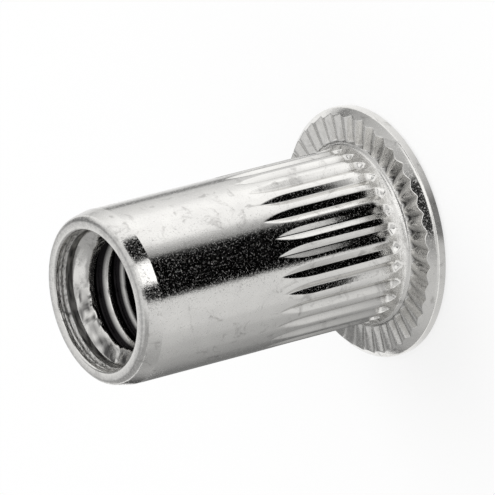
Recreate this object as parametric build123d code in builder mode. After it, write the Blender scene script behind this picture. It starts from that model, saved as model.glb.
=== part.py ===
import os
from itertools import pairwise
from math import acos, degrees, radians, tan

from build123d import *

os.makedirs("parts", exist_ok=True)

# A rivet nut for a 5 mm machine screw, in millimetres.
# It stands on the outer face of its flat head, with the threaded end up along +Z.

# Whole nut
overall_length = 13.0
body_diameter = 6.9
body_radius = body_diameter / 2

# Flat head
head_diameter = 10.0
head_thickness = 0.66
head_edge_slope = 0.27
head_edge_round = 0.12
head_radius = head_diameter / 2
seat_outer_radius = head_radius - head_edge_slope

# Neck between head and shank
neck_fillet = 0.35
neck_step_out = 0.19
neck_step_radius = body_radius + neck_step_out

# Threaded nose
nose_taper_length = 0.79
nose_taper_inset = 0.17
nose_outer_round = 0.28
nose_inner_round = 0.22
nose_bore_diameter = 5.44
nose_bore_depth = 0.83
nose_cone_angle = 60.0
nose_bore_radius = nose_bore_diameter / 2
nose_lip_radius = body_radius - nose_taper_inset

# Screw thread, kept in the solid as its tapping hole
thread_diameter = 5.0
thread_pitch = 0.8
thread_crest_allowance = 0.17
thread_length = 5.5
thread_hole_diameter = thread_diameter - 1.0825 * thread_pitch + thread_crest_allowance
thread_hole_radius = thread_hole_diameter / 2
nose_cone_length = (nose_bore_radius - thread_hole_radius) / tan(radians(nose_cone_angle))
thread_top = overall_length - nose_bore_depth - nose_cone_length
thread_bottom = thread_top - thread_length

# Relief bore from the head, wide enough for the screw to pass
screw_clearance = 0.5
relief_bore_diameter = thread_diameter + screw_clearance
relief_bore_radius = relief_bore_diameter / 2
relief_cone_angle = 60.0
relief_cone_length = (relief_bore_radius - thread_hole_radius) / tan(radians(relief_cone_angle))
relief_bore_depth = thread_bottom - relief_cone_length
relief_mouth_chamfer = 0.2

# Knurl pressed into the shank
knurl_count = 29
knurl_depth = 0.15
knurl_width = 0.53
knurl_tip_height = 6.62
knurl_long_run_out = 1.59
knurl_short_run_out = 0.38
knurl_foot_height = 1.12
knurl_over_cut = 0.05

# Radial serrations under the head
serration_count = 42
serration_inner_depth = 0.11
serration_outer_depth = 0.15
serration_flank_angle = 64.0
serration_inner_radius = neck_step_radius + 0.02
serration_outer_radius = seat_outer_radius - 0.03
serration_inner_run_out = 0.07
serration_outer_run_out = 0.28
serration_over_cut = 0.02


def run_out_radius(depth, length):
    """Radius of the round tool that leaves a groove of this depth over this length."""
    return (length**2 + depth**2) / (2 * depth)


def run_out_angle(depth, radius, over_cut):
    """Angle the round tool turns through until it clears the surface."""
    return degrees(acos(1 - (depth + over_cut) / radius))


# One knurl groove: a straight V with a long pointed end and a short end by the head
knurl_root_radius = body_radius - knurl_depth
knurl_long_radius = run_out_radius(knurl_depth, knurl_long_run_out)
knurl_short_radius = run_out_radius(knurl_depth, knurl_short_run_out)
knurl_straight_top = knurl_tip_height - knurl_long_run_out
knurl_straight_bottom = knurl_foot_height + knurl_short_run_out
knurl_cut_height = knurl_depth + knurl_over_cut
knurl_half_mouth = knurl_cut_height * (knurl_width / 2) / knurl_depth

with BuildPart() as knurl_groove:
    with BuildSketch(Plane.XY.offset(knurl_straight_bottom)) as knurl_foot:
        with BuildLine():
            Polyline(
                (knurl_root_radius, 0),
                (knurl_root_radius + knurl_cut_height, knurl_half_mouth),
                (knurl_root_radius + knurl_cut_height, -knurl_half_mouth),
                close=True,
            )
        make_face()
    extrude(amount=knurl_straight_top - knurl_straight_bottom)
    revolve(
        knurl_foot.sketch,
        axis=Axis((knurl_root_radius + knurl_short_radius, 0, knurl_straight_bottom), (0, -1, 0)),
        revolution_arc=run_out_angle(knurl_depth, knurl_short_radius, knurl_over_cut),
    )
    with BuildSketch(Plane.XY.offset(knurl_straight_top)) as knurl_top:
        with BuildLine():
            Polyline(
                (knurl_root_radius, 0),
                (knurl_root_radius + knurl_cut_height, knurl_half_mouth),
                (knurl_root_radius + knurl_cut_height, -knurl_half_mouth),
                close=True,
            )
        make_face()
    revolve(
        knurl_top.sketch,
        axis=Axis((knurl_root_radius + knurl_long_radius, 0, knurl_straight_top), (0, 1, 0)),
        revolution_arc=run_out_angle(knurl_depth, knurl_long_radius, knurl_over_cut),
    )

# One serration groove: a V that gets deeper outwards and rises out of the face at both ends,
# given by its root line as distance from the axis and depth below the face
serration_root = [
    (serration_inner_radius, -serration_over_cut),
    (serration_inner_radius + serration_inner_run_out, serration_inner_depth),
    (serration_outer_radius - serration_outer_run_out, serration_outer_depth),
    (serration_outer_radius - serration_outer_run_out * 0.4, serration_outer_depth * 0.64),
    (serration_outer_radius, -serration_over_cut),
]
serration_cut_height = serration_outer_depth + serration_over_cut
serration_half_mouth = serration_cut_height * tan(radians(serration_flank_angle))

with BuildPart() as serration_groove:
    for (inner_reach, inner_depth), (outer_reach, outer_depth) in pairwise(serration_root):
        stretch = Vector(outer_reach - inner_reach, 0, inner_depth - outer_depth)
        root_height = head_thickness - inner_depth
        with BuildSketch(Plane.YZ.offset(inner_reach)):
            with BuildLine():
                Polyline(
                    (0, root_height),
                    (serration_half_mouth, root_height + serration_cut_height),
                    (-serration_half_mouth, root_height + serration_cut_height),
                    close=True,
                )
            make_face()
        extrude(amount=stretch.length, dir=stretch.normalized())


# The nut itself: a turned section, then the knurl and the serrations pressed into it
with BuildPart() as rivet_nut:
    with BuildSketch(Plane.XZ) as section:
        with BuildLine():
            Polyline(
                (relief_bore_radius, relief_mouth_chamfer),
                (relief_bore_radius + relief_mouth_chamfer, 0),
                (head_radius, 0),
                (head_radius, head_thickness - head_edge_slope),
                (seat_outer_radius, head_thickness),
                (body_radius, head_thickness),
                (body_radius, overall_length - nose_taper_length),
                (nose_lip_radius, overall_length),
                (nose_bore_radius, overall_length),
                (nose_bore_radius, overall_length - nose_bore_depth),
                (thread_hole_radius, thread_top),
                (thread_hole_radius, thread_bottom),
                (relief_bore_radius, relief_bore_depth),
                close=True,
            )
        make_face()
        rounded_corners = [
            (head_radius, 0, head_edge_round),
            (body_radius, head_thickness, neck_fillet),
            (nose_lip_radius, overall_length, nose_outer_round),
            (nose_bore_radius, overall_length, nose_inner_round),
        ]
        for corner_radius, corner_height, rounding in rounded_corners:
            corner = section.vertices().sort_by_distance((corner_radius, corner_height, 0))[0]
            fillet(corner, radius=rounding)
        with Locations((neck_step_radius, head_thickness)):
            Rectangle(neck_fillet, neck_fillet, align=(Align.MIN, Align.MIN), mode=Mode.SUBTRACT)
    revolve(axis=Axis.Z)

    with PolarLocations(0, knurl_count):
        add(knurl_groove.part, mode=Mode.SUBTRACT)

    with PolarLocations(0, serration_count):
        add(serration_groove.part, mode=Mode.SUBTRACT)

rivet_nut.part.label = "rivet_nut"
export_step(rivet_nut.part, "parts/rivet_nut.step")
print("rivet nut volume", round(rivet_nut.part.volume, 3), "solids", len(rivet_nut.part.solids()))
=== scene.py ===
from math import atan2, cos, pi, radians, sin, sqrt, tan

import bmesh
import bpy
import numpy as np
from mathutils import Matrix, Vector, noise


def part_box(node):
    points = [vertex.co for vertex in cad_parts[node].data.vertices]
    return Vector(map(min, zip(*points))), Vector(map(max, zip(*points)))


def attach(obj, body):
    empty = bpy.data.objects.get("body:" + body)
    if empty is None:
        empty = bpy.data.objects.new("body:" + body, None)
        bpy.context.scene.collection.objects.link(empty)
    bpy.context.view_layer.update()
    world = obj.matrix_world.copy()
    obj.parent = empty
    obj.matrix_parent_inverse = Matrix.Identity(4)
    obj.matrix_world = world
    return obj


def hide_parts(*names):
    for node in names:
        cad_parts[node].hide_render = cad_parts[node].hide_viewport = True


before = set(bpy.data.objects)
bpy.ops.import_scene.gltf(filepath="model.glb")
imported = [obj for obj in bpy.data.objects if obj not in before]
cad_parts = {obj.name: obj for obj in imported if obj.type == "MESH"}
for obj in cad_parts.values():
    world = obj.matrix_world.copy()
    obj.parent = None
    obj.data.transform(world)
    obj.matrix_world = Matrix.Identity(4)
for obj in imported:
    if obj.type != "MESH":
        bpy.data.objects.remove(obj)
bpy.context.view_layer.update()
nutLow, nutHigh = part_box("rivet_nut")
mm = 0.001
fullTurn = 2 * pi


# Softer of two surfaces: the lower one, with a rounded line where they meet.
def softMin(a, b, blend):
    gap = np.clip(0.5 + 0.5 * (b - a) / blend, 0, 1)
    return b * (1 - gap) + a * gap - blend * gap * (1 - gap)


def softMax(a, b, blend):
    return -softMin(-a, -b, blend)


# Points along a turned section; each corner is (radius, height, rounding, steps).
def turnedLine(corners):
    points = []
    for index, (radius, height, rounding, steps) in enumerate(corners):
        here = np.array((radius, height), float)
        if not rounding or index in (0, len(corners) - 1):
            points.append(here)
            continue
        back = np.array(corners[index - 1][:2], float) - here
        ahead = np.array(corners[index + 1][:2], float) - here
        back, ahead = back / np.hypot(*back), ahead / np.hypot(*ahead)
        halfAngle = np.arccos(np.clip(back @ ahead, -1, 1)) / 2
        reach = rounding / tan(halfAngle)
        middle = back + ahead
        centre = here + middle / np.hypot(*middle) * rounding / sin(halfAngle)
        start, stop = here + back * reach - centre, here + ahead * reach - centre
        startTurn, stopTurn = atan2(start[1], start[0]), atan2(stop[1], stop[0])
        sweep = (stopTurn - startTurn + pi) % fullTurn - pi
        for step in range(steps + 1):
            turn = startTurn + sweep * step / steps
            points.append(centre + rounding * np.array((cos(turn), sin(turn))))
    return points


# Collects rings of points round the axis, in millimetres, and joins them with faces.
class RingSkin:
    # Each point also carries how far painted shade and dirt darken it, and how rubbed and rough the plating
    # is there.
    def __init__(self):
        self.points, self.faces = [], []
        self.marks = {"shadeAndDirt": [], "worn": [], "coarse": []}

    def ring(self, angles, radii, heights, shadeAndDirt=0.0, worn=0.0, coarse=0.0):
        angles = np.asarray(angles, float)
        radii, heights = np.broadcast_to(radii, angles.shape), np.broadcast_to(heights, angles.shape)
        first = len(self.points)
        self.points += list(zip(radii * np.cos(angles), radii * np.sin(angles), heights))
        for name, values in (("shadeAndDirt", shadeAndDirt), ("worn", worn), ("coarse", coarse)):
            self.marks[name] += list(np.broadcast_to(values, angles.shape).astype(float))
        return angles, list(range(first, first + len(angles)))

    def point(self, angle, radius, height, shadeAndDirt):
        self.points.append((radius * cos(angle), radius * sin(angle), height))
        for name, value in (("shadeAndDirt", shadeAndDirt), ("worn", 0.0), ("coarse", 0.0)):
            self.marks[name].append(value)
        return len(self.points) - 1

    def face(self, *corners):
        kept = [c for n, c in enumerate(corners) if c != corners[n - 1]]
        if len(set(kept)) == len(kept) >= 3:
            self.faces.append(kept)

    # Two rings with the same angles get four-sided faces, others are laced with triangles.
    def join(self, one, two):
        (oneAngles, oneIds), (twoAngles, twoIds) = one, two
        if len(oneIds) == len(twoIds):
            for n in range(len(oneIds)):
                m = (n + 1) % len(oneIds)
                self.face(oneIds[n], oneIds[m], twoIds[m], twoIds[n])
            return
        i = j = 0
        while i < len(oneIds) or j < len(twoIds):
            oneNext = oneAngles[(i + 1) % len(oneIds)] + (i + 1) // len(oneIds) * fullTurn
            twoNext = twoAngles[(j + 1) % len(twoIds)] + (j + 1) // len(twoIds) * fullTurn
            a, b = oneIds[i % len(oneIds)], twoIds[j % len(twoIds)]
            if j >= len(twoIds) or (i < len(oneIds) and oneNext <= twoNext):
                self.face(a, oneIds[(i + 1) % len(oneIds)], b)
                i += 1
            else:
                self.face(a, twoIds[(j + 1) % len(twoIds)], b)
                j += 1

    def joinAll(self, rings):
        for one, two in zip(rings, rings[1:]):
            self.join(one, two)


def evenAngles(count):
    return np.arange(count) * fullTurn / count


# Angles of a repeated pattern from the offsets of one half of it, in degrees.
def patternAngles(repeats, halfOffsets):
    pitch = 360 / repeats
    one = sorted({round(v, 6) for o in halfOffsets for v in (o, pitch - o)} | {0.0, round(pitch / 2, 6)})
    one = [v for v in one if v < pitch - 1e-6]
    return np.radians([n * pitch + v for n in range(repeats) for v in one])


# Noise at each of a list of places, about -1 to 1.
def noiseAt(places):
    return np.array([noise.noise(Vector(place)) for place in places])


# Value at x from rows of (x, value), straight between them.
def valueAt(x, rows):
    places, values = zip(*rows)
    return np.interp(x, places, values)


nut = dict(
    length=nutHigh.z / mm,
    headRadius=nutHigh.x / mm,
    bodyRadius=3.45,
    headThickness=0.66,
    headEdgeSlope=0.27,
    headEdgeRound=0.12,      # by the outer face
    slopeEdgeRound=0.20,     # between the slope and the rim
    slopeStart=4.83,         # past the last scallop
    neckRadius=3.635,
    neckHeight=1.0,
    neckBend=(3.516, 0.846),                        # pulls the neck's curve inwards
    neckFoot=(3.548, 0.790),
    neckCrease=[(3.5495, 0.789), (3.553, 0.7865)],  # close rings that keep the crease sharp
    neckCoarse=0.3,
    flareHeight=1.36,
    flareOut=0.035,
    taperLength=0.79,
    taperRound=0.25,
    noseShoulder=(0.1184, 0.24),   # inwards from the shank and down from the end
    lipRadius=3.28,
    lipOuterRound=0.28,
    lipInnerRound=0.10,
    recessRadius=2.72,
    recessDepth=0.83,
    ledgeHeight=12.50,       # small turned ledge inside the nose
    ledgeStep=0.045,
    holeRadius=2.152,        # thread crests
    threadRadius=2.5,        # thread roots
    threadPitch=0.8,
    threadCrest=0.12,
    threadLean=42.0,         # of each flank, from square to the axis; plating has blunted it
    threadPhase=10.91,       # height of a crest at threadPhaseAngle
    threadPhaseAngle=95.6,
    threadStart=11.99,       # the first groove starts where its middle is at this height
    threadTop=11.842,
    threadBottom=6.342,
    reliefRadius=2.75,
    coneAngle=60.0,
    reliefMouth=0.2,
)

knurl = dict(
    count=29,
    depth=0.15,
    width=0.53,
    tipHeight=6.62,
    longRunOut=1.59,
    shortRunOut=0.30,
    footHeight=1.12,
    edgeSoftness=0.018,
    rootSoftness=0.012,
    unevenness=0.05,         # how much one groove differs from the next
    tipUnevenness=0.09,
    footUnevenness=0.05,
    darkening=0.22,
)

serration = dict(
    count=42,
    innerRadius=3.645,
    rise=0.06,               # ridges stand proud of the face by this much
    innerDepth=0.15,
    outerDepth=0.095,
    innerRunOut=0.05,
    roundness=1.7,           # power of the ridge's cross-section, 1 would be sharp
    rootSoftness=0.012,
    phase=2.6,
    unevenness=0.25,
    worn=0.4,
    # painted shade in the grooves, by heading and by radius; on the side towards the camera it stands in for
    # dark reflections
    shadeByHeading=[(-150, 0.3), (-118, 0.5), (-98, 1.0), (-62, 1.0), (-40, 0.6), (-15, 0.25), (30, 0.15),
                   (180, 0.3)],
    shadeByRadius=[(3.66, 0.5), (3.70, 1.0), (3.95, 0.97), (4.2, 0.8), (4.5, 0.5), (4.75, 0.2)],
    shadeGather=0.65,         # below 1, the painted shade also reaches up the ridges
    # painted shade in the corner at the neck's foot, by heading and by radius
    footByHeading=[(-175, 0.5), (-150, 0.35), (-120, 0), (-25, 0), (-10, 0.45), (15, 0.45), (30, 0)],
    footByRadius=[(3.66, 1), (3.75, 0)],
)

bore = dict(
    burr=0.02,               # unevenness where the cone meets the thread
    raggedBurr=0.05,         # added on the ragged side of the turn
    raggedStart=(62, 25),    # side angle where it begins, and how gently, in degrees
    raggedStop=(188, 15),
    speckStart=(70, 30),
    shadeHeight=10.75,        # painted shade: the bore darkens from about here down
    shadeBlend=0.8,
    deepestShade=0.93,
)

noseMarks = dict(
    rubbed=[(2.90, 0.1), (2.96, 0.45), (3.05, 0.8), (3.12, 1.0), (3.19, 0.7), (3.28, 0.35), (3.36, 0.0)],
    lineRadius=3.143,        # fine dark turning line on the lip
    lineDark=0.34,
    lineFade=9,
    ripple=0.014,            # turning rings on the wall above the ledge
    rippleCount=40,
    chatter=0.03,
    wallRows=14,
    wallCoarse=1.6,
    recessCoarse=1.2,
)

coneSlope = tan(radians(nut["coneAngle"]))
threadLow = nut["threadBottom"] - (nut["reliefRadius"] - nut["holeRadius"]) / coneSlope
threadHigh = nut["length"] - nut["recessDepth"]
slopeInner = nut["headRadius"] - nut["headEdgeSlope"]
ledgeRadius = nut["recessRadius"] + nut["ledgeStep"]
ledgeTop = nut["ledgeHeight"] + nut["ledgeStep"] * 1.3
wallLow = ledgeTop + 0.03
wallHigh = nut["length"] - nut["lipInnerRound"]

boreAngles, plainAngles, rimAngles = evenAngles(190), evenAngles(290), evenAngles(252)
knurlAngles = patternAngles(knurl["count"], [0.3, 0.75, 1.3, 1.9, 2.5, 3.1, 3.55, 3.85, 4.1, 4.35, 4.75])
seatAngles = patternAngles(serration["count"], [0.35, 0.8, 1.3, 1.8, 2.3, 2.8, 3.2, 3.6])


# Radius of a round tool that leaves a groove of this depth over this length.
def toolRadius(depth, length):
    return (length ** 2 + depth ** 2) / (2 * depth)


# Radius of the shank with its pressed grooves, for a ring at one height.
def shankRadii(angles, height):
    n, k = nut, knurl
    pitch = fullTurn / k["count"]
    groove = np.round(angles / pitch)
    away = angles - groove * pitch
    wobble = noiseAt([(3.1 * (g % k["count"]), 7.7, 0.3) for g in groove])
    other = noiseAt([(5.3 * (g % k["count"]), 1.7, 9.1) for g in groove])
    tip = k["tipHeight"] + k["tipUnevenness"] * wobble
    foot = k["footHeight"] + k["footUnevenness"] * other
    depth = k["depth"] * (1 + k["unevenness"] * other)
    longTool, shortTool = toolRadius(depth, k["longRunOut"]), toolRadius(depth, k["shortRunOut"])
    intoTip = np.clip(height - (tip - k["longRunOut"]), 0, None)
    intoFoot = np.clip(foot + k["shortRunOut"] - height, 0, None)
    rise = longTool - np.sqrt(np.clip(longTool ** 2 - intoTip ** 2, 0, None))
    rise += shortTool - np.sqrt(np.clip(shortTool ** 2 - intoFoot ** 2, 0, None))
    root = n["bodyRadius"] - depth + rise
    slope = k["depth"] / (k["width"] / 2)
    soft = k["rootSoftness"] / n["bodyRadius"]
    side = np.sqrt(np.sin(away) ** 2 + soft ** 2) - soft
    facets = root / (np.cos(away) - slope * side)
    radii = softMin(np.full_like(facets, n["bodyRadius"]), facets, k["edgeSoftness"])
    radii = np.minimum(radii, n["bodyRadius"])
    flare = max(0, (n["flareHeight"] - height) / (n["flareHeight"] - n["neckHeight"])) ** 2 * n["flareOut"]
    return radii + flare, np.clip((n["bodyRadius"] - radii) / k["depth"], 0, 1)


# Height of the face under the head for a ring of one radius: rounded ridges that run out through the slope.
def seatHeights(angles, radius):
    n, c = nut, serration
    start = c["innerRadius"]
    rise = valueAt(radius, [(start, c["rise"] * 0.65), (start + 0.02, c["rise"])])
    depth = valueAt(radius, [(start, 0), (start + c["innerRunOut"], c["innerDepth"]),
                             (start + 0.3, c["outerDepth"] * 1.15), (slopeInner, c["outerDepth"])])
    pitch = fullTurn / c["count"]
    turned = angles - radians(c["phase"])
    groove = np.round(turned / pitch)
    wobble = noiseAt([(2.3 * (g % c["count"]), 4.4, 6.1) for g in groove])
    away = turned - groove * pitch
    depth = depth * (1 + c["unevenness"] * 2 * wobble)
    soft = c["rootSoftness"]
    side = (np.sqrt((radius * away) ** 2 + soft ** 2) - soft) / (radius * pitch / 2)
    drop = depth * np.clip(1 - side, 0, 1) ** c["roundness"]
    slope = n["headThickness"] + slopeInner - radius
    heights = np.minimum(n["headThickness"] + rise - drop, slope)
    return heights, np.clip(drop / c["innerDepth"], 0, 1), slope - heights < 0.001


# Radius of the bore along the threaded stretch: the drilled shape or the thread, whichever is wider.
def threadRadii(angles, heights):
    n = nut
    drilled = np.maximum(n["holeRadius"], np.maximum(
        n["holeRadius"] + (heights - n["threadTop"]) * coneSlope,
        n["holeRadius"] + (n["threadBottom"] - heights) * coneSlope))
    turns = (np.degrees(angles) - n["threadPhaseAngle"]) / 360
    along = (heights - n["threadPhase"]) / n["threadPitch"] - turns
    offCrest = np.abs(along - np.round(along)) * n["threadPitch"]
    flank = n["holeRadius"] + (offCrest - n["threadCrest"] / 2) / tan(radians(n["threadLean"]))
    cut = softMin(flank, np.full_like(flank, n["threadRadius"]), 0.03)
    grooveHeight = n["threadPhase"] + n["threadPitch"] * (np.floor(along) + 0.5 + turns)
    fade = np.clip((n["threadStart"] - grooveHeight) / 0.12, 0, 1)
    cut = n["holeRadius"] - 0.05 + (cut - n["holeRadius"] + 0.05) * fade
    # painted shade in the thread's grooves, where the cut goes past the drilled bore
    groove = np.clip((cut - n["holeRadius"] - 0.05) / 0.08, 0, 1) * (cut > drilled + 0.01)
    return softMax(drilled, cut, 0.02), groove


# One upright column of the threaded stretch: its radii with the burr, and how dark each point is: painted
# shade in the thread's grooves and deeper down the bore, dark spots at the burr and specks on the cone.
def boreColumn(angle, heights):
    n, b = nut, bore
    side = np.degrees(angle)
    x, y = cos(angle), sin(angle)
    radii, dark = threadRadii(np.full(len(heights), angle), heights)
    burr = noiseAt([(x * 9, y * 9, h * 9) for h in heights])
    aboveEdge = np.clip((heights - n["threadTop"] + 0.25) / 0.2, 0, 1)
    nearMouth = aboveEdge * np.clip((n["threadTop"] + 0.32 - heights) / 0.1, 0, 1)
    begin, beginBlend = b["raggedStart"]
    stop, stopBlend = b["raggedStop"]
    ragged = np.clip((side - begin) / beginBlend, 0, 1) * np.clip((stop - side) / stopBlend, 0, 1)
    radii = radii + (b["burr"] + b["raggedBurr"] * ragged) * burr * nearMouth
    dark = np.maximum(dark, np.clip(burr * 3 - 0.3, 0, 0.9) * ragged * nearMouth)
    streak = noiseAt([(angle * 0.8, 2.0, (h - angle * n["threadPitch"] / fullTurn) * 16) for h in heights])
    # painted shade, stronger deeper in the bore, with streaks along the thread
    depthShade = np.clip((b["shadeHeight"] + streak * 0.8 - heights) / b["shadeBlend"], 0, b["deepestShade"])
    speck = noiseAt([(x * 5, y * 5, h * 6 + 3) for h in heights])
    begin, beginBlend = b["speckStart"]
    onCone = np.clip((heights - n["threadTop"] - 0.02) / 0.08, 0, 1)
    onCone = onCone * np.clip((side - begin) / beginBlend, 0, 1) * ragged
    dark = np.maximum(dark, onCone * np.clip(0.45 + speck * 1.4, 0, 0.9))
    return radii, np.maximum(dark, depthShade)


def reliefRings(skin):
    r = nut["reliefRadius"]
    rings = [skin.ring(rimAngles, r + nut["reliefMouth"], 0)]
    # painted shade: the relief bore takes the full dark tone
    for radius, height in [(r + 0.06, 0.14), (r + 0.012, 0.21), (r, 0.26), (r, 2.0), (r, 4.0),
                           (r, threadLow - 0.03)]:
        rings.append(skin.ring(boreAngles, radius, height, 1.0))
    skin.joinAll(rings)
    return rings


# Rows that follow the helix, cut off level at both ends.
def threadedStretch(skin, below):
    n = nut
    offsets = [0.0, 0.04, 0.07, 0.13, 0.22, 0.31, 0.36, 0.40]
    offsets = sorted({round(v, 4) for o in offsets for v in (o, n["threadPitch"] - o)})[:-1]
    pitches = int(np.ceil((threadHigh - threadLow) / n["threadPitch"])) + 2
    startHeight = n["threadPhase"] - n["threadPhaseAngle"] / 360 * n["threadPitch"]
    startHeight -= n["threadPitch"] * np.ceil((startHeight - threadLow) / n["threadPitch"] + 1)
    rows = [startHeight + p * n["threadPitch"] + o for p in range(pitches + 1) for o in offsets]
    rows = [v for v in rows if v < threadHigh + n["threadPitch"]]
    # painted shade on the end rings: full at the bottom, part of it at the top
    lowRing = skin.ring(boreAngles, n["reliefRadius"], threadLow, 1.0)
    highRing = skin.ring(boreAngles, n["recessRadius"], threadHigh, 0.35)
    skin.join(below, lowRing)
    grid = []
    for column, angle in enumerate(boreAngles):
        heights = np.array(rows) + n["threadPitch"] * angle / fullTurn
        inside = (heights > threadLow + 0.004) & (heights < threadHigh - 0.004)
        radii, dark = boreColumn(angle, heights)
        ids = []
        for row, height in enumerate(heights):
            if inside[row]:
                ids.append(skin.point(angle, radii[row], height, dark[row]))
            else:
                ids.append((lowRing if height < (threadLow + threadHigh) / 2 else highRing)[1][column])
        grid.append(ids)
    # one turn on, the helix is one pitch higher
    grid.append(grid[0][len(offsets):] + [highRing[1][0]] * len(offsets))
    for left, right in zip(grid, grid[1:]):
        for row in range(len(rows) - 1):
            skin.face(left[row], right[row], right[row + 1], left[row + 1])
    return highRing


# Radii and marks of one ring of the nose: the rubbed lip, the chattered wall and the hazy recess below it.
def noseRing(angles, radius, height):
    n, m = nut, noseMarks
    radii, shadeAndDirt, worn, coarse = radius, 0.0, 0.0, 0.0
    if height > n["length"] - 0.25:
        worn = valueAt(radius, m["rubbed"])
    if height > n["length"] - 0.05 and radius > 3.1:
        shadeAndDirt = max(0.0, m["lineDark"] - abs(radius - m["lineRadius"]) * m["lineFade"])
    if radius < ledgeRadius + 0.06 and n["ledgeHeight"] < height < n["length"] - 0.15:
        worn, coarse = 0.0, m["wallCoarse"]
        chatter = noiseAt([(cos(a) * 30, sin(a) * 30, height * 16) for a in angles])
        radii = radius + m["ripple"] * sin((height - wallLow) * m["rippleCount"]) + m["chatter"] * chatter
        shadeAndDirt = np.clip(chatter * 2.2 - 0.1, 0, 0.85)
    if radius < ledgeRadius and height < n["ledgeHeight"]:
        cloud = noiseAt([(cos(a) * 6, sin(a) * 6, height * 9) for a in angles])
        shadeAndDirt, coarse = np.clip(0.42 - cloud * 0.9, 0.05, 0.85), m["recessCoarse"]
    return radii, shadeAndDirt, worn, coarse


# Recess, rolled lip, taper and the plain shank.
def noseRings(skin, highRing):
    n = nut
    shoulderIn, shoulderDown = n["noseShoulder"]
    line = turnedLine([
        (n["recessRadius"], threadHigh, 0, 0),
        (n["recessRadius"], n["ledgeHeight"], 0.02, 2),
        (ledgeRadius, ledgeTop, 0.02, 2),
        (ledgeRadius, n["length"], n["lipInnerRound"], 9),
        (n["lipRadius"], n["length"], n["lipOuterRound"], 10),
        (n["bodyRadius"] - shoulderIn, n["length"] - shoulderDown, 0, 0),
        (n["bodyRadius"], n["length"] - n["taperLength"], n["taperRound"], 4),
        (n["bodyRadius"], knurl["tipHeight"] + 0.25, 0, 0)])
    line = [tuple(p) for p in line[1:]]
    lip = next(i for i, p in enumerate(line) if p[0] >= ledgeRadius - 1e-6 and p[1] > wallHigh - 1e-6)
    recess = [(n["recessRadius"], threadHigh + v) for v in (0.02, 0.08, 0.14, 0.2, 0.26)]
    wall = [(ledgeRadius, v) for v in np.linspace(wallLow, wallHigh - 0.01, noseMarks["wallRows"])]
    rings = [highRing]
    for radius, height in recess + line[:lip] + wall + line[lip:]:
        angles = boreAngles if radius < ledgeRadius + 0.15 else plainAngles
        radii, shadeAndDirt, worn, coarse = noseRing(angles, radius, height)
        rings.append(skin.ring(angles, radii, height, shadeAndDirt, worn, coarse))
    skin.joinAll(rings)
    return rings


def knurlRings(skin, above):
    k = knurl
    heights = list(np.linspace(k["tipHeight"] + 0.12, k["tipHeight"] - k["longRunOut"] - 0.05, 23))
    heights += [4.5, 3.8, 3.1, 2.4, 2.0]
    heights += list(np.linspace(1.90, 1.12, 17))
    rings = [above]
    for height in heights:
        radii, depth = shankRadii(knurlAngles, height)
        rings.append(skin.ring(knurlAngles, radii, height, np.clip(depth * 2 - 1, 0, 1) * k["darkening"]))
    skin.joinAll(rings)
    return rings


# The neck's hollow curve, its crease and foot, then the serrated face.
def neckAndSeatRings(skin, above):
    n, c = nut, serration
    top = np.array((n["bodyRadius"] + n["flareOut"], n["neckHeight"]))
    bend, foot = np.array(n["neckBend"]), np.array(n["neckFoot"])
    rings = [above]
    for t in (0, 0.2, 0.4, 0.6, 0.8, 0.96, 1):
        radius, height = top * (1 - t) ** 2 + bend * 2 * t * (1 - t) + foot * t ** 2
        rings.append(skin.ring(seatAngles, radius, height, coarse=min(n["neckCoarse"], t)))
    for radius, height in n["neckCrease"] + [(n["neckRadius"] - 0.003, n["headThickness"] + 0.07)]:
        rings.append(skin.ring(seatAngles, radius, height, coarse=n["neckCoarse"]))
    headings = (np.degrees(seatAngles) + 180) % 360 - 180
    # painted shade in the grooves and at the neck's foot, set by heading and by radius
    grooveShade, footShade = valueAt(headings, c["shadeByHeading"]), valueAt(headings, c["footByHeading"])
    rings.append(skin.ring(seatAngles, n["neckRadius"] + 0.008, n["headThickness"] + 0.035, footShade,
                           coarse=n["neckCoarse"]))
    for radius in [3.648, 3.657, 3.668, 3.69, 3.72, 3.78, 3.88, 4.0, 4.15, 4.35, 4.55, 4.64, 4.665, 4.68,
                   4.695, 4.71, 4.725, 4.74, 4.755, 4.77, 4.79, n["slopeStart"]]:
        heights, depth, onSlope = seatHeights(seatAngles, radius)
        darkening = valueAt(radius, c["shadeByRadius"]) * grooveShade * depth ** c["shadeGather"]
        darkening = np.maximum(darkening, footShade * valueAt(radius, c["footByRadius"]))
        worn = np.where(onSlope, 0.0, c["worn"])
        rings.append(skin.ring(seatAngles, radius, heights, np.where(onSlope, 0, darkening), worn))
    skin.joinAll(rings)
    return rings


# The slope's end, the rim and the flat outer face.
def rimRings(skin, above, mouthRing):
    n = nut
    line = turnedLine([
        (n["slopeStart"], n["headThickness"] + slopeInner - n["slopeStart"], 0, 0),
        (n["headRadius"], n["headThickness"] - n["headEdgeSlope"], n["slopeEdgeRound"], 7),
        (n["headRadius"], 0, n["headEdgeRound"], 6),
        (n["reliefRadius"] + n["reliefMouth"], 0, 0, 0)])
    rings = [above]
    for radius, height in line[1:-1]:
        rings.append(skin.ring(rimAngles, radius, height))
    for radius in (4.4, 3.9, 3.4, 3.0):
        rings.append(skin.ring(rimAngles, radius, 0))
    rings.append(mouthRing)
    skin.joinAll(rings)


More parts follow.
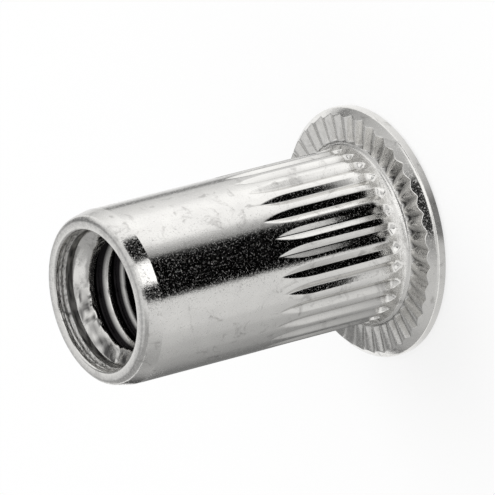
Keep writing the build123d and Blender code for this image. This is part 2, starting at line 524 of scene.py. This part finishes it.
def makeNut():
    skin = RingSkin()
    relief = reliefRings(skin)
    threadEnd = threadedStretch(skin, relief[-1])
    nose = noseRings(skin, threadEnd)
    knurled = knurlRings(skin, nose[-1])
    seat = neckAndSeatRings(skin, knurled[-1])
    rimRings(skin, seat[-1], relief[0])

    mesh = bpy.data.meshes.new("threadedSleeve")
    mesh.from_pydata([tuple(c * mm for c in p) for p in skin.points], [], skin.faces)
    for name, values in skin.marks.items():
        mesh.attributes.new(name, "FLOAT", "POINT").data.foreach_set("value", np.array(values, np.float32))
    work = bmesh.new()
    work.from_mesh(mesh)
    bmesh.ops.recalc_face_normals(work, faces=work.faces)
    openEdges = sum(1 for e in work.edges if len(e.link_faces) != 2)
    work.to_mesh(mesh)
    work.free()
    mesh.shade_smooth()
    triangles = sum(len(f) - 2 for f in skin.faces)
    print("nut skin:", len(skin.points), "points,", triangles, "triangles,", openEdges, "open edges")
    return mesh


sleeve = bpy.data.objects.new("threadedSleeve", makeNut())
bpy.context.scene.collection.objects.link(sleeve)
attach(sleeve, "root")
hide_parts("rivet_nut")


# A shader socket that can be used in plain sums.
class Wire:
    def __init__(self, board, socket):
        self.board, self.socket = board, socket

    def maths(self, operation, first, second=None):
        made = self.board.tree.nodes.new("ShaderNodeMath")
        made.operation = operation
        for slot, value in zip(made.inputs, (first, second)):
            if isinstance(value, Wire):
                self.board.tree.links.new(value.socket, slot)
            elif value is not None:
                slot.default_value = value
        return Wire(self.board, made.outputs[0])

    def __add__(self, other):
        return self.maths("ADD", self, other)

    def __radd__(self, other):
        return self.maths("ADD", other, self)

    def __sub__(self, other):
        return self.maths("SUBTRACT", self, other)

    def __rsub__(self, other):
        return self.maths("SUBTRACT", other, self)

    def __mul__(self, other):
        return self.maths("MULTIPLY", self, other)

    def __rmul__(self, other):
        return self.maths("MULTIPLY", other, self)


# One material or world and its nodes.
class Board:
    def __init__(self, owner):
        owner.use_nodes = True
        self.owner, self.tree = owner, owner.node_tree
        self.tree.nodes.clear()

    # A node by its type, its settings, and the values or wires of its sockets.
    def node(self, kind, settings=None, sockets=None, output=0):
        made = self.tree.nodes.new(kind)
        for name, value in (settings or {}).items():
            setattr(made, name, value)
        for name, value in (sockets or {}).items():
            if isinstance(value, Wire):
                self.tree.links.new(value.socket, made.inputs[name])
            else:
                made.inputs[name].default_value = value
        return Wire(self, made.outputs[output]) if made.outputs else None


zincFinish = dict(
    bright=(0.83, 0.82, 0.795),
    dull=(0.70, 0.69, 0.675),
    worn=(0.52, 0.515, 0.505),
    # dark tone that painted shade and dark marks take
    darkening=(0.013, 0.012, 0.013),
    polish=0.10,             # roughness of the brightest skin
    grainRoughness=0.34,     # added by the crystal grain
    grainSize=14.0,          # grains per millimetre
    wornRoughness=0.22,      # added on the rolled lip
    coarseRoughness=0.24,    # added in the neck and the recess
    stain=(0.30, 0.29, 0.28),
    grainHeight=0.0000022,   # metres, as are the next two
    turnedHeight=0.0000025,
    patchHeight=0.000004,
)


def brightZinc():
    z = zincFinish
    steel = Board(bpy.data.materials.new("brightZincPlate"))
    place = steel.node("ShaderNodeTexCoord", output="Object")
    inMillimetres = steel.node("ShaderNodeVectorMath", {"operation": "SCALE"}, {0: place, "Scale": 1000.0})
    grain = steel.node("ShaderNodeTexNoise", {"noise_dimensions": "3D"},
                       {"Vector": inMillimetres, "Scale": z["grainSize"], "Detail": 3.0, "Roughness": 0.65})
    patches = steel.node("ShaderNodeTexNoise", None,
                         {"Vector": inMillimetres, "Scale": 0.9, "Detail": 4.0, "Roughness": 0.6})
    stretched = steel.node("ShaderNodeVectorMath", {"operation": "MULTIPLY"},
                           {0: inMillimetres, 1: (1.0, 1.0, 3.5)})
    turned = steel.node("ShaderNodeTexNoise", None,
                        {"Vector": stretched, "Scale": 3.0, "Detail": 4.0, "Roughness": 0.6})
    shadeAndDirt = steel.node("ShaderNodeAttribute", {"attribute_name": "shadeAndDirt"}, output="Fac")
    worn = steel.node("ShaderNodeAttribute", {"attribute_name": "worn"}, output="Fac")
    coarse = steel.node("ShaderNodeAttribute", {"attribute_name": "coarse"}, output="Fac")
    mottle = steel.node("ShaderNodeTexNoise", None,
                        {"Vector": inMillimetres, "Scale": 7.0, "Detail": 3.0, "Roughness": 0.65})
    streaks = steel.node("ShaderNodeTexNoise", None, {
        "Vector": inMillimetres, "Scale": 1.3, "Detail": 7.0, "Roughness": 0.62, "Distortion": 1.2})
    grainMask = steel.node("ShaderNodeMapRange", {"interpolation_type": "SMOOTHSTEP"},
                           {"Value": grain, "From Min": 0.50, "From Max": 0.72})
    mottleMask = steel.node("ShaderNodeMapRange", {"interpolation_type": "SMOOTHSTEP"},
                            {"Value": mottle, "From Min": 0.38, "From Max": 0.62})
    stainMask = steel.node("ShaderNodeMapRange", {"interpolation_type": "SMOOTHSTEP"},
                           {"Value": streaks, "From Min": 0.54, "From Max": 0.70})
    patchMask = steel.node("ShaderNodeMapRange", None, {"Value": patches, "From Min": 0.35, "From Max": 0.75})
    colour = steel.node("ShaderNodeMix", {"data_type": "RGBA"}, {
        "Factor": patchMask * 0.55 + grainMask * 0.25, 6: (*z["bright"], 1), 7: (*z["dull"], 1)}, output=2)
    colour = steel.node("ShaderNodeMix", {"data_type": "RGBA"},
                        {"Factor": stainMask * 0.5, 6: colour, 7: (*z["stain"], 1)}, output=2)
    colour = steel.node("ShaderNodeMix", {"data_type": "RGBA"}, {
        "Factor": worn * (1.15 - mottleMask * 0.65), 6: colour, 7: (*z["worn"], 1)}, output=2)
    # painted shade and dark marks: a point attribute darkens the colour towards the dark tone
    colour = steel.node("ShaderNodeMix", {"data_type": "RGBA"},
                        {"Factor": shadeAndDirt, 6: colour, 7: (*z["darkening"], 1)}, output=2)
    roughness = (grainMask * z["grainRoughness"] + patchMask * 0.03 + worn * z["wornRoughness"]
                 + coarse * z["coarseRoughness"] + z["polish"])
    height = (grain * (worn * 1.5 + 1.0) * z["grainHeight"] + turned * z["turnedHeight"]
              + patches * z["patchHeight"])
    bumps = steel.node("ShaderNodeBump", None, {"Strength": 1.0, "Distance": 1.0, "Height": height},
                       output="Normal")
    shader = steel.node("ShaderNodeBsdfPrincipled", None,
                        {"Base Color": colour, "Metallic": 1.0, "Roughness": roughness, "Normal": bumps})
    steel.node("ShaderNodeOutputMaterial", None, {"Surface": shader})
    return steel.owner


sleeve.data.materials.append(brightZinc())
print("finish made: bright zinc plate")


studio = dict(
    worldStrength=0.85,
    floorSize=1.6,
    floorColour=(0.9, 0.9, 0.9, 1),
    floorShare=0.7,          # how much of the floor the camera sees as plain white
    sheetHeight=1.3,         # millimetres above the floor, level with the knurl's feet
    sheetStart=0.63,         # millimetres out from the shank
    lampStrength=2.4,
    lampSize=0.5,
    turnFromCamera=5.62,     # degrees from the camera's own frame to the nut's
)


def plainWorld():
    world = bpy.data.worlds.new("softRoom")
    bpy.context.scene.world = world
    room = Board(world)
    seen = room.node("ShaderNodeLightPath", output="Is Camera Ray")
    white = room.node("ShaderNodeBackground", None, {"Color": (1, 1, 1, 1), "Strength": 1.0})
    soft = room.node("ShaderNodeBackground", None,
                     {"Color": (1, 1, 1, 1), "Strength": studio["worldStrength"]})
    mixed = room.node("ShaderNodeMixShader", None, {0: seen, 1: soft, 2: white})
    room.node("ShaderNodeOutputWorld", None, {"Surface": mixed})


def paleFloor():
    half = studio["floorSize"] / 2
    mesh = bpy.data.meshes.new("floor")
    corners = [(-half, -half, 0), (half, -half, 0), (half, half, 0), (-half, half, 0)]
    mesh.from_pydata(corners, [], [(0, 1, 2, 3)])
    floor = bpy.data.objects.new("floor", mesh)
    floor.location.z = nutLow.z - 0.00001
    bpy.context.scene.collection.objects.link(floor)
    paint = Board(bpy.data.materials.new("paleFloor"))
    path = paint.node("ShaderNodeLightPath", output="Is Camera Ray")
    glossy = paint.node("ShaderNodeLightPath", output="Is Glossy Ray")
    matt = paint.node("ShaderNodeBsdfDiffuse", None, {"Color": studio["floorColour"]})
    white = paint.node("ShaderNodeEmission", None, {"Color": (1, 1, 1, 1), "Strength": 1.0})
    plain = (path + glossy) * studio["floorShare"]
    mixed = paint.node("ShaderNodeMixShader", None, {0: plain, 1: matt, 2: white})
    paint.node("ShaderNodeOutputMaterial", None, {"Surface": mixed})
    mesh.materials.append(paint.owner)


# A card that only the metal's reflections see, like a studio flag.
def card(name, points, faces, tones, seenFrom=None):
    mesh = bpy.data.meshes.new(name)
    mesh.from_pydata(points, [], faces)
    mesh.attributes.new("tone", "FLOAT", "POINT").data.foreach_set("value", np.array(tones, np.float32))
    flag = bpy.data.objects.new(name, mesh)
    bpy.context.scene.collection.objects.link(flag)
    paper = Board(bpy.data.materials.new(name + "Paper"))
    tone = paper.node("ShaderNodeAttribute", {"attribute_name": "tone"}, output="Fac")
    glow = paper.node("ShaderNodeEmission", None, {"Color": (1, 1, 1, 1), "Strength": tone})
    if seenFrom:
        back = paper.node("ShaderNodeNewGeometry", output="Backfacing")
        clear = paper.node("ShaderNodeBsdfTransparent")
        first = mesh.polygons[0].normal.z
        shown = (glow, clear) if (first > 0) == (seenFrom == "above") else (clear, glow)
        glow = paper.node("ShaderNodeMixShader", None, {0: back, 1: shown[0], 2: shown[1]})
    paper.node("ShaderNodeOutputMaterial", None, {"Surface": glow})
    mesh.materials.append(paper.owner)
    flag.visible_camera = flag.visible_diffuse = flag.visible_shadow = False
    flag.visible_transmission = flag.visible_volume_scatter = False


shot = dict(
    elevation=32.61,
    heading=-90 + studio["turnFromCamera"],   # side of the nut that the camera stands on
    roll=104.43,
    distance=336.6 * mm,
    lens=635.3,
    lookHeight=6.50 * mm,
    aside=(-0.531 * mm, 0.669 * mm),
)


# What the straight shank mirrors: for each side angle of the shank, the tone of the card beside it.
# This card and the next are laid out for the main camera; from elsewhere their bands fall on other sides.
shankTones = [
    (-190, 0.25), (-170, 0.18), (-164, 0.18), (-156, 0.30), (-144, 0.44), (-132, 0.56), (-122, 0.70),
    (-112, 0.76), (-100.4, 0.72), (-99.6, 0.0), (-73, 0.0), (-71.5, 0.35), (-68, 0.52), (-64.5, 0.9),
    (-62, 1.08), (-48, 1.18), (-40, 1.16), (-36, 0.95), (-28, 0.76), (-22, 0.70), (-20.5, 0.25),
    (-16.5, 0.25), (-14, 0.7), (-6, 1.05), (10, 1.05),
]


# What the tapered nose mirrors, in the same way.
noseTones = [
    (-178, 0.05), (-170, 0.10), (-163, 0.28), (-155, 0.42), (-147, 0.36), (-138, 0.42), (-130, 0.52),
    (-122, 0.66), (-112, 0.78), (-100.2, 0.80), (-99.6, 0.0), (-88.8, 0.0), (-88.2, 1.4), (-73, 1.4),
    (-72.4, 0.0), (-54.2, 0.0),
    (-53.4, 1.1), (-38, 1.15), (-30, 0.94), (-22, 0.78), (-14, 0.64), (-6, 0.85), (4, 0.9),
]


# Where a ring of the nut mirrors the floor towards the camera: a start point, a direction and a reach.
def mirrorLine(side, radius, height, tilt):
    lift, lean, a = radians(shot["elevation"]), radians(tilt), radians(side)
    view = Vector((0, -cos(lift), sin(lift)))
    out = Vector((cos(lean) * cos(a), cos(lean) * sin(a), sin(lean)))
    ray = 2 * out.dot(view) * out - view
    flat = Vector((ray.x, ray.y, 0))
    return Vector((radius * cos(a), radius * sin(a), 0)), flat.normalized(), -height / ray.z * flat.length


# A card from rows of (side, tone), laid along those directions at the reaches and heights that spots gives.
def mirrorCard(name, ring, table, spots):
    points, tones, faces = [], [], []
    for side, tone in table:
        start, way, reach = mirrorLine(side, *ring)
        row = spots(side, start, way, reach)
        for distance, up in row:
            spot = start + way * distance
            spot.rotate(Matrix.Rotation(radians(studio["turnFromCamera"]), 3, "Z"))
            points.append((spot.x * mm, spot.y * mm, nutLow.z + up * mm))
            tones.append(tone)
    for n in range(len(table) - 1):
        for m in range(len(row) - 1):
            corner = n * len(row) + m
            faces.append((corner, corner + 1, corner + 1 + len(row), corner + len(row)))
    card(name, points, faces, tones, seenFrom="above")


def shadeCards():
    shank, nose = (nut["bodyRadius"], 6.5, 0.0), (3.38, 12.55, 12.1)

    # the two cards share this line, past all that the shank mirrors
    def border(side):
        return max(18.5, 0.48 * mirrorLine(side, *nose)[2])

    def shankSpots(side, start, way, reach):
        return [(studio["sheetStart"], studio["sheetHeight"]), (border(side), studio["sheetHeight"])]

    def noseSpots(side, start, way, reach):
        far = max(reach * 1.15, border(side) + 6)
        return [(border(side), studio["sheetHeight"]), (far, studio["sheetHeight"]), (far, far * 0.14)]

    mirrorCard("shankCard", shank, shankTones, shankSpots)
    mirrorCard("noseCard", nose, noseTones, noseSpots)


# What the edge of the head mirrors, on the floor close to it.
rimTones = [
    (-180, 1.0), (-168, 0.85), (-155, 0.70), (-120, 0.62), (-105, 0.55), (-100, 0.22), (-84, 0.22),
    (-76, 0.45), (-66, 0.66), (-52, 0.85), (-30, 0.95), (-5, 1.05), (25, 0.95), (45, 0.8), (70, 0.85),
    (120, 0.9), (180, 1.0),
]


def rimCard():
    points, tones, faces = [], [], []
    for side, tone in rimTones:
        a = radians(side + studio["turnFromCamera"])
        for reach in (4.9, 6.05):
            points.append((reach * cos(a) * mm, reach * sin(a) * mm, nutLow.z - 0.000005))
            tones.append(tone)
    for n in range(len(rimTones) - 1):
        faces.append((2 * n, 2 * n + 2, 2 * n + 3, 2 * n + 1))
    card("rimCard", points, faces, tones)


# A curved card out in the room: its headings and lifts as seen from the nut, in degrees.
def roomCard(name, headings, lifts, tone, blend, distance=0.25):
    across, up = np.linspace(*headings, 13), np.linspace(*lifts, 9)
    points, tones, faces = [], [], []
    for row, lift in enumerate(np.radians(up)):
        for column, heading in enumerate(np.radians(across)):
            points.append((distance * cos(heading) * cos(lift), distance * sin(heading) * cos(lift),
                           nutHigh.z / 2 + distance * sin(lift)))
            edge = min(column, len(across) - 1 - column, len(up) - 1 - row) / (blend + 0.001)
            tones.append(tone + (studio["worldStrength"] - tone) * max(0, 1 - edge) if blend else tone)
    for row in range(len(up) - 1):
        for column in range(len(across) - 1):
            corner = row * len(across) + column
            faces.append((corner, corner + 1, corner + 1 + len(across), corner + len(across)))
    card(name, points, faces, tones)


def roomCards():
    roomCard("leftShade", (104, 250), (-9, 62), 0.40, 2)
    roomCard("frontStripe", (-98, -83), (-9, 50), 0.12, 1)
    roomCard("frontReflector", (-82, -52), (-9, 46), 1.15, 0)
    roomCard("rightShade", (-48, -22), (-9, 26), 0.03, 1)
    roomCard("rightReflector", (-22, 36), (-9, 30), 1.05, 0)
    roomCard("backShade", (42, 82), (0, 58), 0.28, 2)


# A level card over the head, which only the head's upward reflections see.
def headCard(name, inner, outer, lift, table):
    points, tones, faces = [], [], []
    for heading, tone in table:
        a = radians(heading)
        for reach in (inner, outer):
            points.append((reach * cos(a) * mm, reach * sin(a) * mm, nutLow.z + lift * mm))
            tones.append(tone)
    for n in range(len(table) - 1):
        faces.append((2 * n, 2 * n + 2, 2 * n + 3, 2 * n + 1))
    card(name, points, faces, tones, seenFrom="below")


headTones = dict(
    headShade=[(-180, 0.55), (-165, 0.60), (-145, 0.60), (-128, 0.58), (-115, 0.42), (-100, 0.28),
               (-85, 0.22), (-70, 0.24), (-55, 0.34), (-40, 0.48), (-20, 0.56), (0, 0.70), (25, 0.84),
               (45, 0.84), (60, 0.80), (75, 0.74), (90, 0.48), (105, 0.34), (120, 0.28), (135, 0.28),
               (150, 0.30), (165, 0.42), (180, 0.55)],
    farShade=[(-180, 0.55), (-150, 0.65), (-120, 0.75), (-108, 0.6), (-98, 0.8), (-84, 1.15), (-45, 1.15),
              (-20, 0.72), (0, 0.55), (20, 0.45), (38, 0.30), (46, 0.14), (66, 0.14), (75, 0.46), (90, 0.45),
              (120, 0.40), (150, 0.42), (180, 0.55)],
    headFlag=[(heading, 0.02) for heading in range(-101, -50, 5)],
    neckReflector=[(-125, 0.65), (-108, 1.0), (-98, 1.25), (-45, 1.25), (-20, 1.1), (0, 0.9), (15, 0.75)],
    neckGlow=[(-112, 0.5), (-104, 1.15), (-48, 1.15), (-35, 0.8)],
)


def headCards():
    for name, inner, outer, lift in (
            ("headShade", 6.4, 15.6, 9.4), ("farShade", 15.6, 130.0, 9.4), ("headFlag", 9.0, 13.1, 9.2),
            ("neckReflector", 3.7, 8.95, 9.3), ("neckGlow", 13.3, 15.8, 9.3)):
        headCard(name, inner, outer, lift, headTones[name])


# A black card on the floor under the bore, seen only in reflections: painted shade for the dark inside of the
# bore.
def boreShadeCard():
    turns = np.linspace(0, fullTurn, 33)[:-1]
    points = [(cos(t) * 2.94 * mm, sin(t) * 2.94 * mm, nutLow.z - 0.000004) for t in turns]
    card("boreShadeCard", points, [tuple(range(len(points)))], [0.0] * len(points))


def softLamp():
    light = bpy.data.lights.new("overheadSoftbox", "AREA")
    light.size = studio["lampSize"]
    light.energy = studio["lampStrength"]
    lamp = bpy.data.objects.new("overheadSoftbox", light)
    lamp.location = (0.35, 0.25, 0.75)
    lamp.visible_glossy = False
    lamp.rotation_euler = (Vector((0, 0, 0)) - lamp.location).to_track_quat("-Z", "Y").to_euler()
    bpy.context.scene.collection.objects.link(lamp)


plainWorld()
paleFloor()
shadeCards()
rimCard()
roomCards()
headCards()
boreShadeCard()
softLamp()
print("floor, light and cards placed")


def placeCamera():
    c = shot
    heading, lift, roll = radians(c["heading"]), radians(c["elevation"]), radians(c["roll"])
    away = Vector((cos(heading) * cos(lift), sin(heading) * cos(lift), sin(lift)))
    right = Vector((-sin(heading), cos(heading), 0))
    up = away.cross(right)
    data = bpy.data.cameras.new("camera")
    data.lens, data.sensor_width = c["lens"], 36
    data.clip_start, data.clip_end = 0.02, 5
    camera = bpy.data.objects.new("camera", data)
    imageRight = cos(roll) * right - sin(roll) * up
    imageUp = sin(roll) * right + cos(roll) * up
    spot = Vector((0, 0, c["lookHeight"])) + away * c["distance"] - right * c["aside"][0] - up * c["aside"][1]
    axes = Matrix((imageRight, imageUp, away)).transposed().to_4x4()
    camera.matrix_world = Matrix.Translation(spot) @ axes
    bpy.context.scene.collection.objects.link(camera)
    bpy.context.scene.camera = camera


placeCamera()
bpy.context.scene.view_settings.view_transform = "Standard"
print("camera placed")
